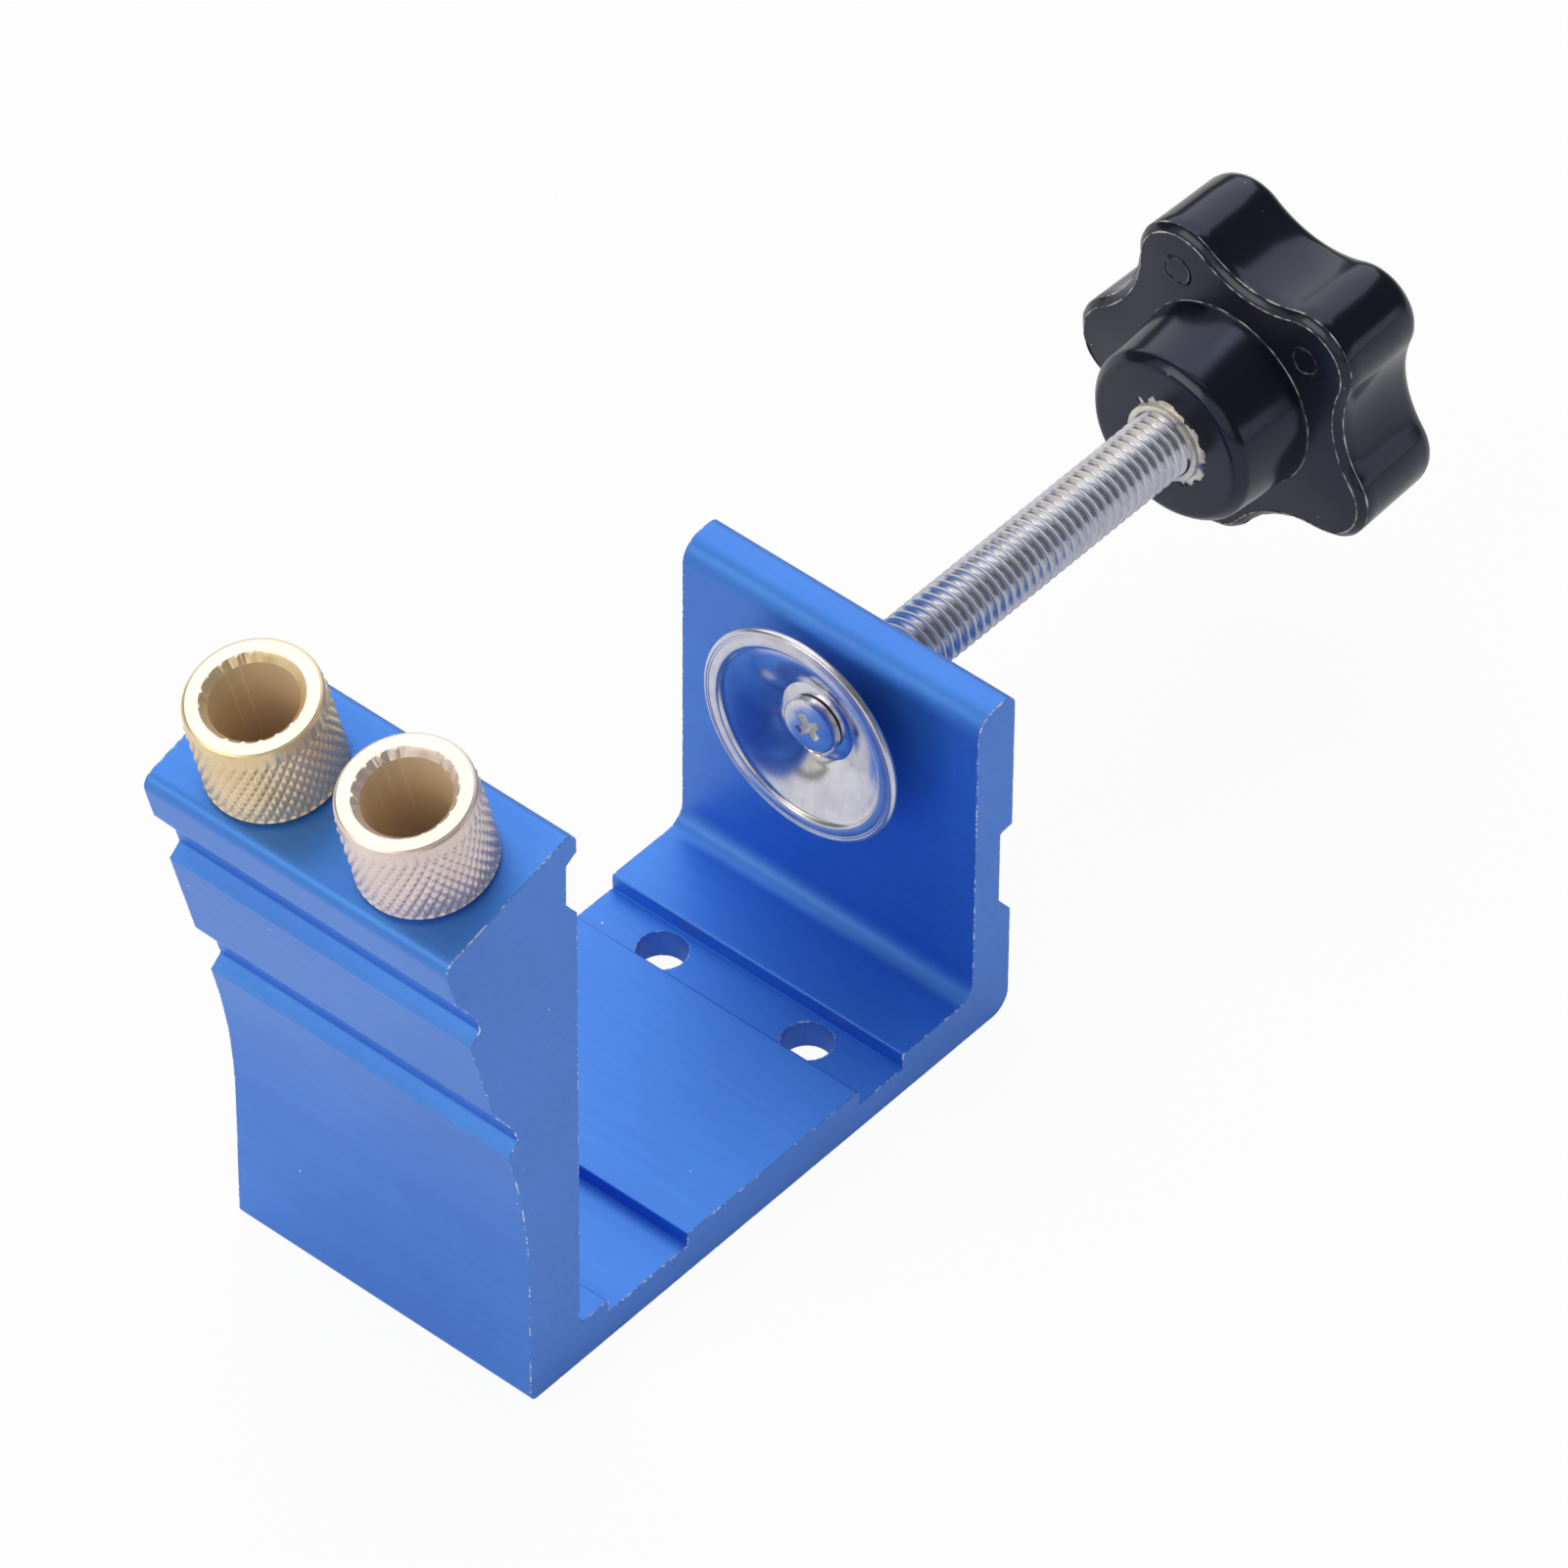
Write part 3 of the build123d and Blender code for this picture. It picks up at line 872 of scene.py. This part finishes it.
def makeKnob():
    size = starKnob
    thick, chamfer, rounding = size["thickness"], size["rimChamfer"], size["backRounding"]
    draft = math.tan(math.radians(size["draft"]))
    # how far the outline moves inwards, and how far back it lies from the front face
    insets = [(chamfer + 0.06, 0), (chamfer - 0.05, 0.02), (0.12, chamfer - 0.1),
              (0.03, chamfer + 0.06)]
    insets += [(draft * back, back) for back in (2.5, 5.0, 8.0, thick - rounding)]
    for step in range(1, size["roundingSteps"] + 1):
        angle = math.pi / 2 * step / size["roundingSteps"]
        back = thick - rounding + rounding * math.sin(angle)
        insets.append((draft * thick + rounding * (1 - math.cos(angle)), back))
    starPaths = [(starPath(inset), back) for inset, back in insets]

    # the boss and the pocket in it, on points in the same directions
    star = starPaths[0][0]
    root, edge = size["bossRootRadius"], size["bossEdgeRadius"]
    face, tall, cut = size["bossFaceRadius"], size["bossLength"], size["bossChamfer"]
    rings = [(size["pocketRadius"], size["pocketDepth"] - tall), (size["pocketRadius"], -tall),
             (face - 0.4, -tall), (face - 0.05, -tall + 0.03), (face + 0.3, -tall + 0.22),
             (edge - 0.25, -tall + cut - 0.2), (edge - 0.05, -tall + cut + 0.12),
             (edge + 0.02, -tall + cut + 0.45), (root - 0.02, -0.25), (root + 0.06, -0.06),
             (root + 0.25, 0)]
    bossPaths = [(roundedPath(star, radius), back) for radius, back in rings]
    bm = bmesh.new()
    loops, settled = [], []
    for path, back in bossPaths + starPaths:
        # every loop has a height of its own while they are joined, or flat ones would twist
        height = len(loops) * mm
        corners = [bm.verts.new((across * mm, up * mm, height)) for across, up in path]
        loops.append(closedLoop(bm, corners))
        settled.append((corners, back))
    for near, far in zip(loops, loops[1:]):
        bmesh.ops.bridge_loops(bm, edges=near + far)
    for corners, back in settled:
        for corner in corners:
            corner.co.z = back * mm
    for ending in (loops[0], loops[-1]):
        bmesh.ops.contextual_create(bm, geom=ending)
    piece = finishPiece(bm, "knobMoulding", clampFrame(size["frontFace"]), "clamp",
                        black, crease=60)
    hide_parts("knob")


def makeBead(name, path, x, radius, material, unevenness=0.5):
    # a thin uneven bead along a closed path: moulding flash, and in the pale material a painted
    # highlight line
    curve = bpy.data.curves.new(name, "CURVE")
    curve.dimensions = "3D"
    spline = curve.splines.new("POLY")
    spline.points.add(len(path) - 1)
    for point, (across, up) in zip(spline.points, path):
        wave = Vector((across, up, 0)) * flashBead["waviness"] + Vector((0, 0, x))
        point.co = (across * mm, up * mm, 0, 1)
        point.radius = max(flashBead["thinnest"], 1 + 2 * unevenness * noise.noise(wave))
    spline.use_cyclic_u = True
    curve.bevel_depth = radius * mm
    curve.bevel_resolution = 1
    holder = addObject(name, curve)
    mesh = evaluatedMesh(holder)
    bpy.data.objects.remove(holder)
    bpy.data.curves.remove(curve)
    mesh.transform(clampFrame(x))
    mesh.name = name
    finishMesh(mesh, name, "clamp", material)


def makeKnobDetail():
    size, bead = starKnob, flashBead
    front, chamfer, pin = size["frontFace"], size["rimChamfer"], size["pinRadius"]
    # the pale streaks on these beads are painted highlight lines along the rim's edges, the boss
    # seam and inside the pin marks
    makeBead("rimFlashInner", starPath(chamfer), front + 0.01, bead["rimInner"], scrapedHighlight)
    makeBead("rimFlashOuter", starPath(0.1), front + chamfer, bead["rimOuter"], scrapedHighlight)
    makeBead("bossSeam", ringPath(size["bossRootRadius"] + 0.12, 160), front - 0.02,
             bead["bossSeam"], scrapedHighlight)
    for lobe in size["pinLobes"]:
        turn = math.radians(size["phase"] + 360 / size["lobes"] * lobe)
        centre = (size["pinFromAxis"] * math.cos(turn), size["pinFromAxis"] * math.sin(turn))
        makeBead("ejectorMark" + str(lobe), ringPath(pin, 48, centre), front,
                 bead["pinMark"], black, 0.7)
        makeBead("ejectorFlashHighlight" + str(lobe), ringPath(pin - bead["pinHighlightInset"], 48, centre),
                 front, bead["pinHighlight"], scrapedHighlight, 1.0)


makeKnob()
makeKnobDetail()
print("knob made")


# ---- plated insert in the knob, and the torn skin of plastic round it

insertFace = {
    "face": 88.05,
    "outerRadius": 5.8,
    "length": 15.0,
    "boreRadius": 4.02,
    "ringRadius": 4.8,
    "ringHeight": 0.8,
    "steps": 96,
}

tornSkin = {
    "face": 87.85,
    "thickness": 0.16,
    "steps": 240,
    # degrees between which the plate shows, either side of one tongue of torn plastic
    "plateShows": ((43, 51), (57, 250)),
    "waves": ((0.09, 1.5, 1.0), (0.31, 7.5, 0.9)),  # waves for each degree, seed, weight
    # mean distance of the edge from the pocket, or else from the ring, and its swing
    "shownEdge": (0.2, 0.6),
    "hiddenEdge": (0.12, 0.35),
    "margin": 0.04,
}


def makeInsert():
    size = insertFace
    bore, ring, tall = size["boreRadius"], size["ringRadius"], size["ringHeight"]
    bm = turnedShape([
        (bore, -tall + 0.12), (bore + 0.12, -tall), (ring - 0.22, -tall),
        (ring - 0.06, -tall + 0.06), (ring, -tall + 0.2), (ring, -0.12), (ring + 0.1, 0),
        (size["outerRadius"], 0), (size["outerRadius"], size["length"]),
        (bore, size["length"])], size["steps"])
    piece = finishPiece(bm, "knobInsert", clampFrame(size["face"]), "clamp",
                        insertZinc)
    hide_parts("knob_insert")


def tornRadius(degrees):
    # where the plate shows the skin keeps to the pocket's edge, elsewhere it reaches inwards
    # nearly to the ring, and its edge is ragged everywhere
    size = tornSkin
    pocket, ring, margin = starKnob["pocketRadius"], insertFace["ringRadius"], size["margin"]
    ragged = sum(weight * noise.noise(Vector((degrees * often, seed, 0)))
                 for often, seed, weight in size["waves"])
    if any(first <= degrees % 360 <= last for first, last in size["plateShows"]):
        away, swing = size["shownEdge"]
        return min(pocket - margin, pocket - away + swing * ragged)
    away, swing = size["hiddenEdge"]
    return max(ring + margin, ring + away + swing * ragged)


def makeTornSkin():
    size = tornSkin
    bm = bmesh.new()
    rings = [bmesh.ops.create_circle(bm, segments=size["steps"], radius=radius * mm)["verts"]
             for radius in (starKnob["pocketRadius"], insertFace["ringRadius"])]
    for vert in rings[1]:
        angle = math.degrees(math.atan2(vert.co.y, vert.co.x))
        vert.co *= tornRadius(angle) * mm / vert.co.length
    bmesh.ops.bridge_loops(bm, edges=bm.edges)
    made = bmesh.ops.extrude_face_region(bm, geom=bm.faces)["geom"]
    moved = [item for item in made if isinstance(item, bmesh.types.BMVert)]
    bmesh.ops.translate(bm, vec=(0, 0, size["thickness"] * mm), verts=moved)
    finishPiece(bm, "tornSkin", clampFrame(size["face"]), "clamp", black)


makeInsert()
makeTornSkin()
print("insert made")


# ---- floor, light and camera

studio = {
    "middle": (0.03, 0, 0.035),  # what the lamps point at
    "floorWhite": "#ececef",
    "floorSize": 6.0,
    # how much of the floor's look is plain white glow, seen by the camera and in mirrors
    "floorGlow": 0.95,
    "mirroredFloorGlow": 0.25,
    # the sky's strength as light and in mirrors; the camera sees 1
    "skyLevel": 0.25,
    "mirroredSkyLevel": 0.14,
}


def mirroredRays(tree, rays):
    return addMath(tree, "MAXIMUM", rays.outputs["Is Glossy Ray"],
                   rays.outputs["Is Transmission Ray"])


def makeFloor():
    bm = bmesh.new()
    bmesh.ops.create_grid(bm, x_segments=1, y_segments=1, size=studio["floorSize"] / 2)
    floor = addObject("floor", meshFrom(bm, "floor"))
    material = bpy.data.materials.new("white studio floor")
    material.use_nodes = True
    tree = material.node_tree
    tree.nodes.remove(tree.nodes["Principled BSDF"])
    rays = addNode(tree, "ShaderNodeLightPath")
    matt = addNode(tree, "ShaderNodeBsdfDiffuse", {"Color": linearColour(studio["floorWhite"])})
    glow = addNode(tree, "ShaderNodeEmission", {"Color": (1, 1, 1, 1), "Strength": 1.0})
    seen = addMath(tree, "MULTIPLY", rays.outputs["Is Camera Ray"], studio["floorGlow"])
    share = addMath(tree, "MULTIPLY_ADD", mirroredRays(tree, rays),
                    studio["mirroredFloorGlow"], seen)
    mixed = addNode(tree, "ShaderNodeMixShader", {
        0: share, 1: matt.outputs[0], 2: glow.outputs[0]})
    tree.links.new(mixed.outputs[0], tree.nodes["Material Output"].inputs["Surface"])
    floor.data.materials.append(material)


def makeSky():
    world = bpy.data.worlds.new("studio")
    bpy.context.scene.world = world
    world.use_nodes = True
    tree = world.node_tree
    rays = addNode(tree, "ShaderNodeLightPath")
    level = addRange(tree, mirroredRays(tree, rays), (0.0, 1.0),
                     (studio["skyLevel"], studio["mirroredSkyLevel"]))
    strength = addRange(tree, rays.outputs["Is Camera Ray"], (0.0, 1.0), (level, 1.0))
    background = tree.nodes["Background"]
    background.inputs["Color"].default_value = (1, 1, 1, 1)
    tree.links.new(strength, background.inputs["Strength"])


lamps = {  # from: direction from the object, at distance in m; size in m, power in W
    "backSoftbox": {"from": (0.384, 0.548, 0.743), "distance": 1.7, "size": (2.3, 2.3),
                    "power": 20.0},
    "topSoftbox": {"from": (-0.1, 0.1, 0.99), "distance": 1.7, "size": (1.2, 1.2),
                   "power": 2.5},
    "leftSoftbox": {"from": (-0.8, 0.2, 0.565), "distance": 1.7, "size": (1.25, 0.85),
                    "power": 7.9, "colour": "#fff5de"},
    "leftFill": {"from": (-0.803, 0.464, 0.375), "distance": 1.8, "size": (1.5, 1.2),
                 "power": 3.4, "colour": "#fff5de"},
    "frontFill": {"from": (-0.803, -0.464, 0.375), "distance": 1.8, "size": (1.5, 1.2),
                  "power": 4.1, "colour": "#fffaec"},
    "rightFill": {"from": (0.525, -0.84, 0.139), "distance": 1.7, "size": (1.0, 0.42),
                  "power": 1.1},
}


def makeLamps():
    for name, lamp in lamps.items():
        light = bpy.data.lights.new(name, "AREA")
        light.shape = "RECTANGLE"
        light.size, light.size_y = lamp["size"]
        light.energy = lamp["power"]
        light.color = linearColour(lamp.get("colour", "#ffffff"))[:3]
        holder = addObject(name, light)
        direction = Vector(lamp["from"]).normalized()
        holder.location = Vector(studio["middle"]) + direction * lamp["distance"]
        holder.rotation_euler = direction.to_track_quat("Z", "Y").to_euler()


shot = {
    "azimuth": -49.472,
    "elevation": 44.736,
    "roll": 0.472,
    "distance": 1.398,
    "target": (0.02524, 0, 0.02955),
    "focalPixels": 13535.8,
    "imagePixels": 1601,
    "sensorMm": 36,
    "clipStart": 0.01,
}


def makeCamera():
    turn, tilt, roll = (math.radians(shot[key]) for key in ("azimuth", "elevation", "roll"))
    back = Vector((math.sin(turn) * math.cos(tilt), -math.cos(turn) * math.cos(tilt),
                   math.sin(tilt)))
    right = Vector((math.cos(turn), math.sin(turn), 0))
    up = back.cross(right)
    leanRight = right * math.cos(roll) + up * math.sin(roll)
    leanUp = up * math.cos(roll) - right * math.sin(roll)
    camera = bpy.data.cameras.new("camera")
    camera.sensor_width = shot["sensorMm"]
    camera.lens = shot["sensorMm"] * shot["focalPixels"] / shot["imagePixels"]
    camera.clip_start = shot["clipStart"]
    holder = addObject("camera", camera)
    pose = Matrix((leanRight, leanUp, back)).transposed().to_4x4()
    pose.translation = Vector(shot["target"]) + back * shot["distance"]
    holder.matrix_world = pose
    bpy.context.scene.camera = holder


makeFloor()
makeSky()
makeLamps()
makeCamera()
bpy.context.scene.view_settings.view_transform = "Standard"
print("studio made")
